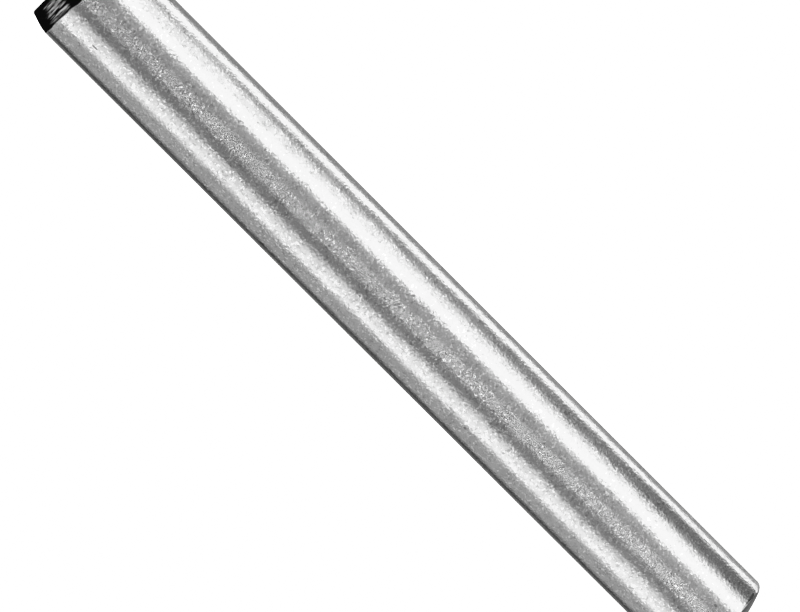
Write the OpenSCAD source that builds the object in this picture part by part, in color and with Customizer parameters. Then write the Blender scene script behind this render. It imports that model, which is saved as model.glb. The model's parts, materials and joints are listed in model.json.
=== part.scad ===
// Locking pin: one solid round pin of hardened steel, turned and then ground.
// Its shank is one true cylinder. A lead-in cone starts it in its hole, and
// the other end is crowned, so that a hammer or a press meets its middle.
// The pin stands on the flat face of its lead-in end, and its axis is +Z.

/* [Shank] */
// Ground diameter of the shank
pin_d = 8; // [6:0.5:12]
// Overall length, from the flat face to the top of the crown
pin_l = 65; // [16:1:120]

/* [Lead-in end] */
// Length of the cone along the axis, to where its line meets the shank's
lead_l = 1.35; // [1.2:0.05:2.4]
// Angle between the cone and the axis
lead_angle = 18; // [10:1:20]
// Radius that eases the cone into the shank
lead_ease_r = 3; // [1:0.5:4]
// Radius on the rim of the flat face
face_rim_r = 0.25; // [0.1:0.05:0.4]

/* [Crowned end] */
// Radius of the crown
crown_r = 9.5; // [8:0.5:20]
// Radius where the crown rolls over into the shank
crown_rim_r = 0.5; // [0.2:0.1:1]

/* [Hidden] */
$fn = 180;
steel_grey = [0.72, 0.73, 0.74];

// Steps in the turned radii, and in the much longer sweep of the crown
radius_steps = 10;
crown_steps = 36;

shank_r = pin_d / 2;
// Radius at which the cone's line would cut the plane of the flat face
cone_tip_r = shank_r - lead_l * tan(lead_angle);
// Distance from each sharp corner to the ends of the radius that softens it
face_rim_t = face_rim_r * tan((90 - lead_angle) / 2);
lead_ease_t = lead_ease_r * tan(lead_angle / 2);

// The crown's centre is on the axis. The rim's radius touches both the shank
// and the crown, so its centre is their radii less its own from each of them.
crown_z = pin_l - crown_r;
crown_rim_x = shank_r - crown_rim_r;
crown_rim_angle = acos(crown_rim_x / (crown_r - crown_rim_r));
crown_rim_z = crown_z + (crown_r - crown_rim_r) * sin(crown_rim_angle);

// Points of an arc, its first point left out when the outline already has it
function arc(centre, r, from, to, steps, first = 0) =
    [for (i = [first:steps])
        let (a = from + (to - from) * i / steps)
        centre + r * [cos(a), sin(a)]];

// Half of the pin's lengthwise section, from the flat face up to the crown
function half_section() = concat(
    [[0, 0]],
    arc([cone_tip_r - face_rim_t, face_rim_r], face_rim_r, -90, -lead_angle, radius_steps),
    arc([shank_r - lead_ease_r, lead_l + lead_ease_t], lead_ease_r, -lead_angle, 0, radius_steps),
    arc([crown_rim_x, crown_rim_z], crown_rim_r, 0, crown_rim_angle, radius_steps),
    arc([0, crown_z], crown_r, crown_rim_angle, 90, crown_steps, 1)
);

// The whole pin, turned from one bar
module locking_pin() {
    color(steel_grey)
        rotate_extrude()
            polygon(half_section());
}

locking_pin();
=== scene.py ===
"""A locking pin of ground steel, standing on its flat end in a white light tent.

The pin is one turned piece. Its shank is ground bright, and both ends keep the dark scale of
hardening. The lead-in cone also keeps the marks of turning. Lengths are in millimetres inside
the pin's finish and in metres everywhere else. Bearings round the pin and the tent are in
degrees from the front, positive towards -X.
"""
import json
import math

import bpy
from mathutils import Matrix, Vector


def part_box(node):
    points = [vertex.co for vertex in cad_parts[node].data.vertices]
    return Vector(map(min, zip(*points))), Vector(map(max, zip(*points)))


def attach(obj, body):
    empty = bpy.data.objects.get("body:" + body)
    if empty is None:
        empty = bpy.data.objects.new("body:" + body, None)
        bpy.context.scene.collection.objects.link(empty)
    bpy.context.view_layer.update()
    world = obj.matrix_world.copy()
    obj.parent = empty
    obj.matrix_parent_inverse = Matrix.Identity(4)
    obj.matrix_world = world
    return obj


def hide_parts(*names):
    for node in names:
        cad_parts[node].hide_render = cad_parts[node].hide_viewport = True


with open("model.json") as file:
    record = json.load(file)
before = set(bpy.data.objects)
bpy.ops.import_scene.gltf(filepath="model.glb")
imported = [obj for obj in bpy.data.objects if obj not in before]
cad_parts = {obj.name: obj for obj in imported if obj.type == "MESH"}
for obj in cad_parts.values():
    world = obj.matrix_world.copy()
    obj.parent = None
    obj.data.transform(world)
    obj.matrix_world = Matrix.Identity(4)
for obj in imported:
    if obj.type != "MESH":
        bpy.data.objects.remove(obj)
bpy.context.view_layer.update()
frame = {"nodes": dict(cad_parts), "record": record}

MM = 0.001
PIN = "locking_pin"

# ---------------------------------------------------------------- sizes from the frame

low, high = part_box(PIN)
length = high.z - low.z
middle = Vector((0, 0, low.z + length / 2))
shank = next(m for m in frame["record"]["mounts"] if m["kind"] == "pin")
radius = shank["dims"]["r_mm"] * MM
half_shank = shank["dims"]["length_mm"] * MM / 2
shank_foot, shank_head = shank["pos_m"][2] - half_shank, shank["pos_m"][2] + half_shank


def cad_section():
    """Half of the pin's lengthwise section in the frame, as (radius, height), from its flat face up."""
    widest = {}
    for v in frame["nodes"][PIN].data.vertices:
        height = round(v.co.z, 7)
        widest[height] = max(widest.get(height, 0.0), math.hypot(v.co.x, v.co.y))
    return [(0.0, low.z)] + [(widest[height], height) for height in sorted(widest)]


# ---------------------------------------------------------------- the turned piece

# Corners round each ring
AROUND = 256
# The lead-in is a fifth of the diameter long. Then come how far up it is eased into the shank, and
# how far down the crowned end reaches.
LEAD_IN = 0.2 * 2 * radius
LEAD_IN_END, CROWN_END = 1.3 * LEAD_IN, 0.2 * 2 * radius
# Steps between the rings on the flat face, the lead-in, the shank and the crown
FACE_STEP, LEAD_IN_STEP, SHANK_STEP, CROWN_STEP = 0.15 * MM, 0.025 * MM, 1.0 * MM, 0.05 * MM
TURNING_FEED, TURNING_DEPTH = 0.25 * MM, 0.006 * MM
TURNING_FADE = 0.15 * LEAD_IN


def rings_along(section):
    """(radius, height) of every ring, close together on the ends and far apart along the shank."""
    rings = []
    for (r0, z0), (r1, z1) in zip(section, section[1:]):
        span = math.hypot(r1 - r0, z1 - z0)
        if z1 <= low.z:
            step = FACE_STEP
        elif z1 < low.z + LEAD_IN_END:
            step = LEAD_IN_STEP
        elif z0 > high.z - CROWN_END:
            step = CROWN_STEP
        else:
            step = SHANK_STEP
        pieces = max(1, math.ceil(span / step))
        parts = [i / pieces for i in range(pieces)]
        if step == SHANK_STEP:
            # A ring close to each end keeps the shading of the shank straight up to it
            parts = sorted(parts + [LEAD_IN_STEP / span, 1 - LEAD_IN_STEP / span])
        rings += [(r0 + (r1 - r0) * part, z0 + (z1 - z0) * part) for part in parts]
    return rings


def turning_mark(height):
    """How deep the tool's round nose cut at this height: hollows side by side, a feed apart."""
    if height <= low.z or height > low.z + LEAD_IN:
        return 0.0
    fade = min(1.0, (low.z + LEAD_IN - height) / TURNING_FADE)
    return TURNING_DEPTH * fade * abs(math.sin(math.pi * (height - low.z) / TURNING_FEED))


def turned_pin():
    """The whole pin as one closed mesh, turned about +Z."""
    # The first ring has no width, and is the middle of the flat face
    rings = rings_along(cad_section())[1:]
    corners = [(0.0, 0.0, low.z)]
    for r, z in rings:
        r -= turning_mark(z)
        for k in range(AROUND):
            angle = 2 * math.pi * k / AROUND
            corners.append((r * math.cos(angle), r * math.sin(angle), z))
    corners.append((0.0, 0.0, high.z))
    faces = [(0, 1 + (k + 1) % AROUND, 1 + k) for k in range(AROUND)]
    for n in range(len(rings) - 1):
        first = 1 + n * AROUND
        for k in range(AROUND):
            a, b = first + k, first + (k + 1) % AROUND
            faces.append((a, b, b + AROUND, a + AROUND))
    top, last = len(corners) - 1, 1 + (len(rings) - 1) * AROUND
    faces += [(top, last + k, last + (k + 1) % AROUND) for k in range(AROUND)]
    mesh = bpy.data.meshes.new("turned_pin")
    mesh.from_pydata(corners, [], faces)
    mesh.shade_smooth()
    turned = bpy.data.objects.new("turned_pin", mesh)
    bpy.context.scene.collection.objects.link(turned)
    return turned


# ---------------------------------------------------------------- shader maths


class Value:
    """A socket's value. Sums and products of values add the nodes that work them out."""

    def __init__(self, nodes, socket):
        self.nodes, self.socket = nodes, socket

    def maths(self, operation, *others):
        """A Math node that takes this value first."""
        return self.nodes.add("ShaderNodeMath", {"operation": operation}, self, *others)

    def __add__(self, other):
        return self.maths("ADD", other)

    def __sub__(self, other):
        return self.maths("SUBTRACT", other)

    def __mul__(self, other):
        return self.maths("MULTIPLY", other)

    def __truediv__(self, other):
        return self.maths("DIVIDE", other)

    def __rsub__(self, other):
        return self.nodes.add("ShaderNodeMath", {"operation": "SUBTRACT"}, other, self)

    __radd__, __rmul__ = __add__, __mul__

    def step(self, start, end):
        """0 below start and 1 above end, with a soft rise between them. start may be the larger."""
        if start > end:
            return 1 - self.step(end, start)
        ease = {"interpolation_type": "SMOOTHSTEP"}
        return self.nodes.add("ShaderNodeMapRange", ease, self, start, end, 0.0, 1.0)


class Nodes:
    """A node tree that is written as expressions."""

    def __init__(self, tree):
        self.tree = tree
        tree.nodes.clear()

    def add(self, kind, settings, *values, out=0, **named):
        """A new node, with its settings made first. values go to its sockets in order."""
        node = self.tree.nodes.new(kind)
        for name, setting in settings.items():
            setattr(node, name, setting)
        for key, value in [*enumerate(values), *named.items()]:
            if isinstance(key, str):
                key = key.replace("_", " ")
            if isinstance(value, Value):
                self.tree.links.new(value.socket, node.inputs[key])
            else:
                node.inputs[key].default_value = value
        return Value(self, node.outputs[out]) if node.outputs else node

    def axes(self, vector):
        """The x, y and z of a vector."""
        return [self.add("ShaderNodeSeparateXYZ", {}, vector, out=axis) for axis in "XYZ"]


def new_material(name):
    """An empty material and its nodes."""
    material = bpy.data.materials.new(name)
    material.use_nodes = True
    return material, Nodes(material.node_tree)


# ---------------------------------------------------------------- patterns on the pin


class PinSurface:
    """Where a point is on the pin, in millimetres, and the patterns that are laid on it."""

    def __init__(self, nodes):
        self.nodes = nodes
        metres = nodes.add("ShaderNodeTexCoord", {}, out="Object")
        self.place = nodes.add("ShaderNodeVectorMath", {"operation": "SCALE"}, metres, Scale=1 / MM)
        x, y, self.height = nodes.axes(self.place)
        self.around = (0 - x).maths("ARCTAN2", 0 - y)

    def stretched(self, across, along):
        """A space where a noise of size 1 is this many millimetres across the pin and along it."""
        scale = (1 / across, 1 / across, 1 / along)
        return self.nodes.add("ShaderNodeVectorMath", {"operation": "MULTIPLY"}, self.place, scale)

    def grain(self, across, along, detail=2.0, roughness=0.5, curl=0.0):
        """Even noise from 0 to 1, with lumps of about this many millimetres across and along."""
        return self.nodes.add(
            "ShaderNodeTexNoise",
            {},
            self.stretched(across, along),
            Scale=1.0,
            Detail=detail,
            Roughness=roughness,
            Distortion=curl,
        )

    def side(self, bearing, outer, inner):
        """1 within the inner number of degrees from this bearing, and 0 beyond the outer one."""
        off = self.around - math.radians(bearing)
        return off.maths("COSINE").step(math.cos(math.radians(outer)), math.cos(math.radians(inner)))


# ---------------------------------------------------------------- the scale of hardening

# Heights where the scale ends on the lead-in and starts on the crown, half the width over which
# each edge fades, and how ragged each edge is
LEAD_SCALE_ENDS, CROWN_SCALE_STARTS = shank_foot / MM - 0.12, shank_head / MM + 0.19
LEAD_EDGE_FADE, CROWN_EDGE_FADE = 0.05, 0.03
LEAD_EDGE_RAGGED, CROWN_EDGE_RAGGED = 0.35, 0.07
# Sides where an edge lies further up, as a bearing with an outer and an inner width, and how much
FURTHER_SIDE, FURTHER = (34, 60, 46), 0.20
GROUND_RIM_SIDE, GROUND_RIM = (109, 53, 46), 0.16
# Sides where the lead-in is rubbed, how far above the flat face that fades in, and how far below
# the scale's edge it fades out
RUBBED_SIDE, RUBBED_BACK = (-31, 36, 3), (150, 60, 20)
RUBBING_FADES_IN, RUBBING_FADES_OUT = (0.25, 0.42), (0.08, 0.28)
# Lumps in the edges and the rubbed streaks, across the pin and along it, where in its noise a
# streak starts and is whole, and how strong the noise still is where the rubbing is faint
RAGGED_LUMPS, STREAK_LUMPS = (1.6, 1.6), (1.3, 0.12)
STREAK_FROM = (0.42, 0.74)
FAINTEST_STREAK = 0.35


def hardening_scale(surface):
    """Where scale is left on the lead-in and on the crown, and where the lead-in is rubbed bright."""
    ragged = surface.grain(*RAGGED_LUMPS, detail=3.0) - 0.5
    further = surface.side(*FURTHER_SIDE)
    lead_edge = surface.height + ragged * LEAD_EDGE_RAGGED - further * FURTHER
    lead_scale = lead_edge.step(LEAD_SCALE_ENDS + LEAD_EDGE_FADE, LEAD_SCALE_ENDS - LEAD_EDGE_FADE)
    crown_edge = surface.height + ragged * CROWN_EDGE_RAGGED - surface.side(*GROUND_RIM_SIDE) * GROUND_RIM
    crown_scale = crown_edge.step(CROWN_SCALE_STARTS - CROWN_EDGE_FADE, CROWN_SCALE_STARTS + CROWN_EDGE_FADE)

    worn = surface.side(*RUBBED_SIDE) * (1 - further) + surface.side(*RUBBED_BACK)
    streaks = surface.grain(*STREAK_LUMPS, roughness=0.6) * (FAINTEST_STREAK + worn * (1 - FAINTEST_STREAK))
    nearest, furthest = RUBBING_FADES_OUT
    below_edge = lead_edge.step(LEAD_SCALE_ENDS - nearest, LEAD_SCALE_ENDS - furthest)
    rubbed = streaks.step(*STREAK_FROM) * worn * surface.height.step(*RUBBING_FADES_IN) * below_edge
    return lead_scale, crown_scale, rubbed


# ---------------------------------------------------------------- the ground steel

BARE_STEEL = 0.56
# Lumps of each pattern, across the pin and along it: broad clouds, a finer mottle, patches where
# the ground is crisp, and the specks, which are painted glints and the painted shade in pits
CLOUD_LUMPS, MOTTLE_LUMPS, PATCH_LUMPS = (1.9, 1.3), (0.9, 0.6), (1.1, 0.9)
PAINTED_GLINT_LUMPS, PIT_SHADE_LUMPS, SPECK_CURL = (0.21, 0.18), (0.25, 0.21), 0.6
# Where in its noise a patch, a painted glint and a painted pit shade starts and is whole
PATCH_FROM, PAINTED_GLINT_FROM, PIT_SHADE_FROM = (0.36, 0.60), (0.56, 0.70), (0.46, 0.30)
# How much the broad clouds and the finer mottle change the steel, from their darkest to their
# brightest
CLOUDS, MOTTLE = 0.20, 0.22
# How much a painted glint or the painted shade in a pit changes it, and the share of that outside
# the crisp patches
PAINTED_GLINT, PIT_SHADE = 0.48, 0.20
CALM = 0.45
# Knocks in the ground surface: bearing, height, half length, half width, and how much darker each is
KNOCKS = [
    (-34.5, 4.74, 0.28, 0.07, 0.70),
    (-45.5, 41.4, 0.12, 0.12, 0.50),
    (-67.7, 22.5, 0.20, 0.20, 0.45),
    (10.2, 62.35, 0.14, 0.10, 0.50),
]
# Where a knock's edge fades, in shares of its half length and half width, squared
KNOCK_EDGE = (1.4, 0.5)
# Size and depth of the grain left by grinding. Its dimples and ridges have lumps of their own and
# a share of its depth each.
GRAIN, GRAIN_DEPTH = 0.19, 0.017
DIMPLE_LUMPS, RIDGE_LUMPS = (GRAIN * 1.3, GRAIN * 1.1), (GRAIN * 1.2, GRAIN)
DIMPLES, RIDGES = 0.40, 0.60
# The share of the grain's depth outside the crisp patches, and how much is added inside them
GRAIN_LEAST, GRAIN_MORE = 0.85, 0.30
# Depth of the mottle and of the long waves in the surface, beside the grain's
MOTTLE_DEPTH, WAVE_DEPTH, WAVE_LUMPS = 0.6, 6.0, (6.0, 9.0)


def ground_brightness(surface, mottle, patches):
    """How bright the bare steel is, with painted glints, painted shade in pits and a few knocks in it."""
    clouds = surface.grain(*CLOUD_LUMPS) - 0.5
    # Light specks painted into the steel's colour: painted glints
    painted_glints = surface.grain(*PAINTED_GLINT_LUMPS, detail=1.0, curl=SPECK_CURL).step(*PAINTED_GLINT_FROM)
    # Dark specks painted into the steel's colour: painted shade in pits
    pit_shade = surface.grain(*PIT_SHADE_LUMPS, detail=1.0, curl=SPECK_CURL).step(*PIT_SHADE_FROM)
    bright = BARE_STEEL + clouds * CLOUDS + (mottle - 0.5) * MOTTLE
    # The painted glints brighten the steel and the painted pit shade darkens it
    bright += (painted_glints * PAINTED_GLINT - pit_shade * PIT_SHADE) * (CALM + patches * (1 - CALM))
    for bearing, height, half_length, half_width, darker in KNOCKS:
        along = (surface.height - height) / half_length
        aside = (surface.around - math.radians(bearing)) * (radius / MM / half_width)
        bright *= 1 - (along * along + aside * aside).step(*KNOCK_EDGE) * darker
    return bright


def ground_relief(surface, mottle, patches):
    """The fine relief that grinding leaves, a little deeper in the crisp patches, as a normal."""
    dimples = surface.nodes.add(
        "ShaderNodeTexVoronoi",
        {"feature": "SMOOTH_F1"},
        surface.stretched(*DIMPLE_LUMPS),
        Scale=1.0,
        Smoothness=0.25,
        out="Distance",
    )
    ridges = surface.grain(*RIDGE_LUMPS, detail=1.0)
    fine = (dimples * DIMPLES + ridges * RIDGES) * (GRAIN_LEAST + patches * GRAIN_MORE)
    waves = surface.grain(*WAVE_LUMPS, detail=1.0)
    return surface.nodes.add(
        "ShaderNodeBump",
        {},
        Strength=1.0,
        Distance=GRAIN_DEPTH * MM,
        Height=fine + mottle * MOTTLE_DEPTH + waves * WAVE_DEPTH,
    )


# ---------------------------------------------------------------- the pin's finish

# Brightness of the two scales and of the rubbed steel
LEAD_SCALE, CROWN_SCALE, RUBBED_STEEL = 0.002, 0.085, 0.40
# How much the crown's brightness varies, and in what lumps
CROWN_VARIES, CROWN_LUMPS = 0.05, (0.3, 0.3)
# Roughness of the ground steel, how much less it is in the crisp patches, and what a scale adds
GROUND_ROUGHNESS, CRISPER = 0.19, 0.06
LEAD_SCALE_ROUGHER, CROWN_SCALE_ROUGHER = 0.05, 0.32


def steel_finish(name):
    """Ground steel along the shank, with dark scale kept on the lead-in, the flat face and the crown."""
    material, nodes = new_material(name)
    surface = PinSurface(nodes)
    lead_scale, crown_scale, rubbed = hardening_scale(surface)
    mottle = surface.grain(*MOTTLE_LUMPS, detail=3.0, roughness=0.6)
    patches = surface.grain(*PATCH_LUMPS).step(*PATCH_FROM)

    bare = (1 - lead_scale) * (1 - crown_scale)
    lead_tone = LEAD_SCALE + rubbed * RUBBED_STEEL
    crown_tone = CROWN_SCALE + (surface.grain(*CROWN_LUMPS) - 0.5) * CROWN_VARIES
    tone = ground_brightness(surface, mottle, patches) * bare
    tone += lead_tone * lead_scale + crown_tone * crown_scale
    rough = GROUND_ROUGHNESS - patches * CRISPER
    rough += lead_scale * LEAD_SCALE_ROUGHER + crown_scale * CROWN_SCALE_ROUGHER
    shader = nodes.add(
        "ShaderNodeBsdfPrincipled",
        {},
        Base_Color=nodes.add("ShaderNodeCombineColor", {}, tone, tone, tone),
        Metallic=1 - lead_scale * (1 - rubbed),
        Roughness=rough,
        Specular_IOR_Level=0.0,
        Normal=ground_relief(surface, mottle, patches),
    )
    nodes.add("ShaderNodeOutputMaterial", {}, shader)
    return material


# ---------------------------------------------------------------- the light tent

# The tent is a drum round the pin. Its walls follow one another round the drum from the back, and
# each runs from its own edge to the next one's. An edge has a bearing at the foot of the tent and
# one at its head, and after them come how bright the wall is at both.
WALLS = {
    "back": (-180, -180, 0.34, 0.34),
    "back edge": (-162, -162, 0.14, 0.14),
    "dark flag": (-144, -144, 0.02, 0.02),
    "grey side": (-130, -130, 0.41, 0.41),
    "side softbox": (-82, -82, 1.25, 1.35),
    "its dimmer half": (-67, -67, 0.92, 1.04),
    "dark gap": (-46, -46, 0.22, 0.28),
    "round the lens": (-17, -17, 0.09, 0.18),
    "beside the lens": (7, 7, 0.36, 0.40),
    "near gap": (22, 22, 0.46, 0.50),
    "wide softbox": (38, 38, 2.15, 2.15),
    "its far half": (56, 56, 1.15, 1.15),
    "far gap": (88, 73, 0.54, 0.16),
    "rim strip": (101, 120, 1.75, 1.75),
    "behind": (123, 132, 0.26, 0.34),
}
# All the edges fade over this many degrees
WALL_FADE = 20.0
TENT_RADIUS = 150 * MM
TENT_FOOT, TENT_HEAD = 0.0, 88 * MM
# The walls go on changing for this share of the tent's height beyond its foot and its head
TENT_BEYOND = 0.25
# The drum itself is longer, so that it also fills what the pin reflects from above and below
DRUM_FOOT, DRUM_HEAD = -3 * TENT_RADIUS, 2 * TENT_HEAD
DRUM_SIDES = 96
# Small lamps round the lens, in a grid: its pitch and how far it is turned, both in degrees, the
# bearings that it fills and fades over, and how bright it is at the tent's foot and its head
LAMP_PITCH, LAMP_TURN = 9.0, 36.0
LAMPS_BETWEEN, LAMPS_FADE = (-19, 7), 6
LAMP_GLOW_FOOT, LAMP_GLOW_HEAD = 3.2, 4.2
# How wide each lamp is, as the heights of the grid's wave where it starts and is at its brightest
LAMP_WIDTH = (0.40, 0.90)
# Below the pin's foot the walls give way to a skirt that hangs in broad soft folds
SKIRT_TOP, SKIRT_FADE = -10 * MM, 30 * MM
SKIRT_GLOW, SKIRT_SWING = 0.72, 0.54
SKIRT_FOLDS, SKIRT_FOLD_AT = 3, -75
TENT_POWER = 1.30
# The plain white room round the tent, as the pin and the camera see it
ROOM_POWER, BACKGROUND_POWER = 1.3, 2.5
WHITE = (1, 1, 1, 1)


def new_stage_mesh(name, corners, faces, material):
    """A mesh that lights the pin or stands under it, and isn't part of it."""
    mesh = bpy.data.meshes.new(name)
    mesh.from_pydata(corners, [], faces)
    mesh.materials.append(material)
    piece = bpy.data.objects.new(name, mesh)
    bpy.context.scene.collection.objects.link(piece)
    return piece


def wall_glow(bearing, up):
    """How bright the walls are. up is 0 at the foot of the tent and 1 at its head."""
    walls = list(WALLS.values())
    _, _, foot_before, head_before = walls[0]
    glow = foot_before + up * (head_before - foot_before)
    for edge_foot, edge_head, glow_foot, glow_head in walls[1:]:
        more_foot, more_head = glow_foot - foot_before, glow_head - head_before
        upright = bearing - up * (edge_head - edge_foot)
        past = upright.step(edge_foot - WALL_FADE / 2, edge_foot + WALL_FADE / 2)
        glow += past * (more_foot + up * (more_head - more_foot))
        foot_before, head_before = glow_foot, glow_head
    return glow


def lamp_glow(bearing, rise, up):
    """How bright the small lamps are. rise is the height above the pin's foot, in degrees."""
    start, end = LAMPS_BETWEEN
    near = bearing.step(start - LAMPS_FADE, start + LAMPS_FADE)
    near *= bearing.step(end + LAMPS_FADE, end - LAMPS_FADE)
    turn_cos, turn_sin = math.cos(math.radians(LAMP_TURN)), math.sin(math.radians(LAMP_TURN))
    one_way = (bearing * turn_cos + rise * turn_sin) * (2 * math.pi / LAMP_PITCH)
    other_way = (rise * turn_cos - bearing * turn_sin) * (2 * math.pi / LAMP_PITCH)
    lamps = (one_way.maths("COSINE") * other_way.maths("COSINE")).step(*LAMP_WIDTH)
    return near * lamps * (LAMP_GLOW_FOOT + up * (LAMP_GLOW_HEAD - LAMP_GLOW_FOOT))


def tent_light():
    """The glow of the whole tent, worked out from the place on the drum."""
    material, nodes = new_material("tent_walls")
    x, y, z = nodes.axes(nodes.add("ShaderNodeTexCoord", {}, out="Object"))
    bearing = (0 - x).maths("ARCTAN2", 0 - y) * math.degrees(1)
    rise = (z / TENT_RADIUS).maths("ARCTANGENT") * math.degrees(1)
    beyond = TENT_BEYOND * (TENT_HEAD - TENT_FOOT)
    up = nodes.add(
        "ShaderNodeMapRange", {}, z, TENT_FOOT - beyond, TENT_HEAD + beyond, -TENT_BEYOND, 1 + TENT_BEYOND
    )
    walls = wall_glow(bearing, up) + lamp_glow(bearing, rise, up)
    fold = (bearing - SKIRT_FOLD_AT) * math.radians(SKIRT_FOLDS)
    skirt = SKIRT_GLOW + fold.maths("COSINE") * SKIRT_SWING
    below = z.step(SKIRT_TOP, SKIRT_TOP - SKIRT_FADE)
    strength = (walls + (skirt - walls) * below) * TENT_POWER
    glow = nodes.add("ShaderNodeEmission", {}, Color=WHITE, Strength=strength)
    nodes.add("ShaderNodeOutputMaterial", {}, glow)
    return material


def light_tent():
    """The drum of light that the pin reflects, which the camera doesn't see."""
    corners = []
    for k in range(DRUM_SIDES):
        angle = 2 * math.pi * k / DRUM_SIDES
        x, y = TENT_RADIUS * math.cos(angle), TENT_RADIUS * math.sin(angle)
        corners += [(x, y, DRUM_FOOT), (x, y, DRUM_HEAD)]
    pairs = [(2 * k, 2 * ((k + 1) % DRUM_SIDES)) for k in range(DRUM_SIDES)]
    faces = [(this, this + 1, following + 1, following) for this, following in pairs]
    drum = new_stage_mesh("light_tent", corners, faces, tent_light())
    drum.visible_camera = drum.visible_diffuse = drum.visible_shadow = False


def white_room():
    """The plain white room round the tent, brighter behind the pin than in its reflections."""
    world = bpy.data.worlds.new("white_room")
    bpy.context.scene.world = world
    world.use_nodes = True
    nodes = Nodes(world.node_tree)
    seen = nodes.add("ShaderNodeLightPath", {}, out="Is Camera Ray")
    strength = ROOM_POWER + seen * (BACKGROUND_POWER - ROOM_POWER)
    plain = nodes.add("ShaderNodeBackground", {}, Color=WHITE, Strength=strength)
    nodes.add("ShaderNodeOutputWorld", {}, plain)


def white_floor():
    """A lit sheet of white acrylic under the pin."""
    material, nodes = new_material("white_acrylic")
    shader = nodes.add(
        "ShaderNodeBsdfPrincipled",
        {},
        Base_Color=(0.9, 0.9, 0.9, 1),
        Roughness=0.6,
        Emission_Color=WHITE,
        Emission_Strength=1.0,
    )
    nodes.add("ShaderNodeOutputMaterial", {}, shader)
    half = 6 * length
    square = [(-half, -half, 0), (half, -half, 0), (half, half, 0), (-half, half, 0)]
    floor = new_stage_mesh("white_floor", square, [(0, 1, 2, 3)], material)
    floor.visible_glossy = False


# ---------------------------------------------------------------- the camera

CAMERA_DISTANCE = 0.42
CAMERA_HEIGHT = 0.5 * MM
# How far beside the pin's middle and below it the camera aims
AIM_ASIDE, AIM_BELOW = 0.038 * MM, 0.077 * MM
# How steeply the pin slopes down to the right in the camera's view
PIN_SLOPE = math.radians(44.92)
# Width of what the camera sees at the pin, and the nearest and furthest that it sees at all
VIEW_WIDTH = 55.63 * MM
NEAREST, FURTHEST = 0.05, 50.0
# In millimetres, as a lens is too
SENSOR_WIDTH = 36.0


def camera():
    """Level with the pin's foot and aimed at its middle, rolled so that the crown is down on the right."""
    data = bpy.data.cameras.new("camera")
    data.sensor_width = SENSOR_WIDTH
    data.lens = SENSOR_WIDTH * CAMERA_DISTANCE / VIEW_WIDTH
    data.clip_start, data.clip_end = NEAREST, FURTHEST
    looks_up = math.asin((middle.z - CAMERA_HEIGHT) / CAMERA_DISTANCE)
    back = Vector((0, -math.cos(looks_up), -math.sin(looks_up)))
    level_right = Vector((1, 0, 0))
    level_up = back.cross(level_right)
    slope_cos, slope_sin = math.cos(PIN_SLOPE), math.sin(PIN_SLOPE)
    right = level_up * slope_cos - level_right * slope_sin
    up = -level_up * slope_sin - level_right * slope_cos
    aim = middle + level_right * AIM_ASIDE - level_up * AIM_BELOW
    rolled = Matrix((right, up, back)).transposed().to_4x4()
    seen_from = bpy.data.objects.new("camera", data)
    seen_from.matrix_world = Matrix.Translation(aim + back * CAMERA_DISTANCE) @ rolled
    bpy.context.scene.collection.objects.link(seen_from)
    bpy.context.scene.camera = seen_from


# How the print turns light into white: highlights on the steel stop just short of the paper's own
# white. Each pair is the light and what it prints as.
SHOULDER = [(0.0, 0.0), (0.8, 0.8), (1.0, 0.91), (1.7, 0.95), (1.85, 1.0), (2.5, 1.0)]


def film():
    """A plain print, with a shoulder."""
    view = bpy.context.scene.view_settings
    view.view_transform = "Standard"
    view.use_curve_mapping = True
    curves = view.curve_mapping
    brightest = SHOULDER[-1][0]
    curves.white_level = (brightest,) * 3
    together = curves.curves[3]
    while len(together.points) < len(SHOULDER):
        together.points.new(0.5, 0.5)
    for point, (light, printed) in zip(together.points, SHOULDER):
        point.location = (light / brightest, printed)
        point.handle_type = "VECTOR"
    curves.update()


# ---------------------------------------------------------------- putting it together

pin = turned_pin()
pin.data.materials.append(steel_finish("pin_steel"))
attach(pin, "root")
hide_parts(PIN)

light_tent()
white_room()
white_floor()
camera()
film()
